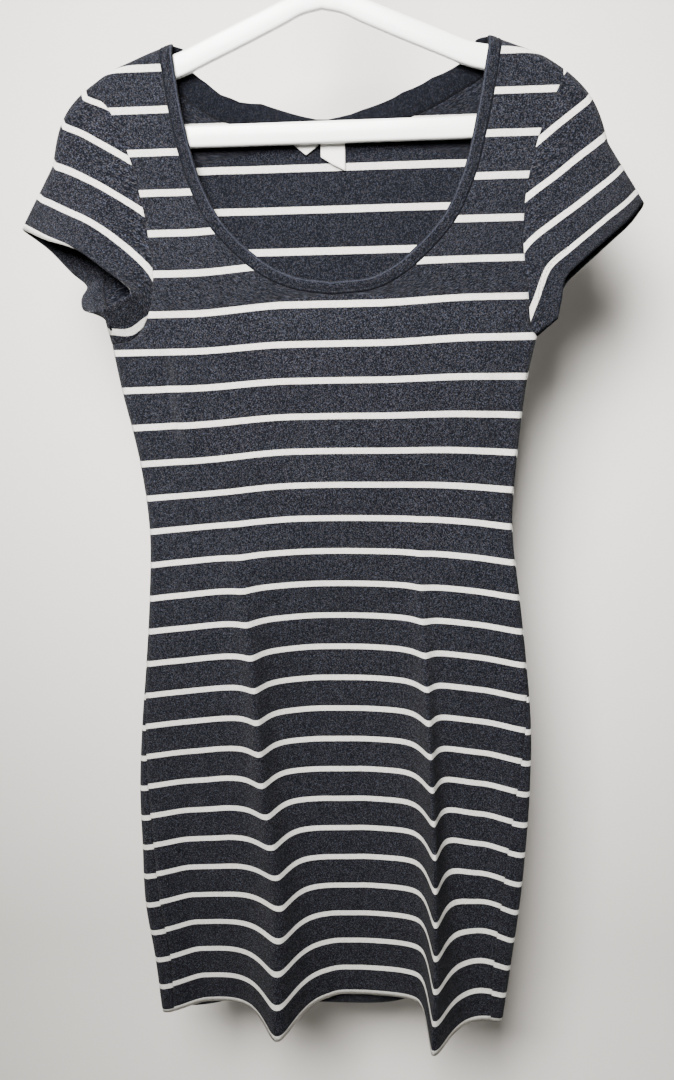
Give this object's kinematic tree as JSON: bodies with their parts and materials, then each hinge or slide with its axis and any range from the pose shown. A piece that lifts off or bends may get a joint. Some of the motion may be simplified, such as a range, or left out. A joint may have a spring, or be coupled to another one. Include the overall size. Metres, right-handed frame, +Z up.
{
  "type": "mini dress on a hanger",
  "caption": "Short-sleeved scoop-neck mini dress in striped jersey, hanging open at neck, cuffs and hem on a moulded plastic clothes hanger with a fixed hook.",
  "frame": {"origin": "hook_rest, the inside top of the hanger's hook where a rod carries it", "axes": "+X to the viewer's right as the front is seen, +Y away from the viewer from front to back, +Z up from hem to hook"},
  "size_m": [0.5076, 0.083, 1.0013],
  "materials": {
    "striped_jersey": "heathered navy single jersey with off-white stripes 6 mm wide, soft and matt",
    "plain_jersey": "heathered navy jersey folded to a 10 mm band, matt",
    "label_tape": "plain white woven tape, no print",
    "hanger_plastic": "moulded white plastic, glossy"
  },
  "bodies": {
    "root": {"front_panel": "striped_jersey", "back_panel": "striped_jersey", "sleeve_left": "striped_jersey", "sleeve_right": "striped_jersey", "neck_binding": "plain_jersey", "brand_label": "label_tape", "size_label": "label_tape", "hanger": "hanger_plastic"}
  },
  "joints": []
}
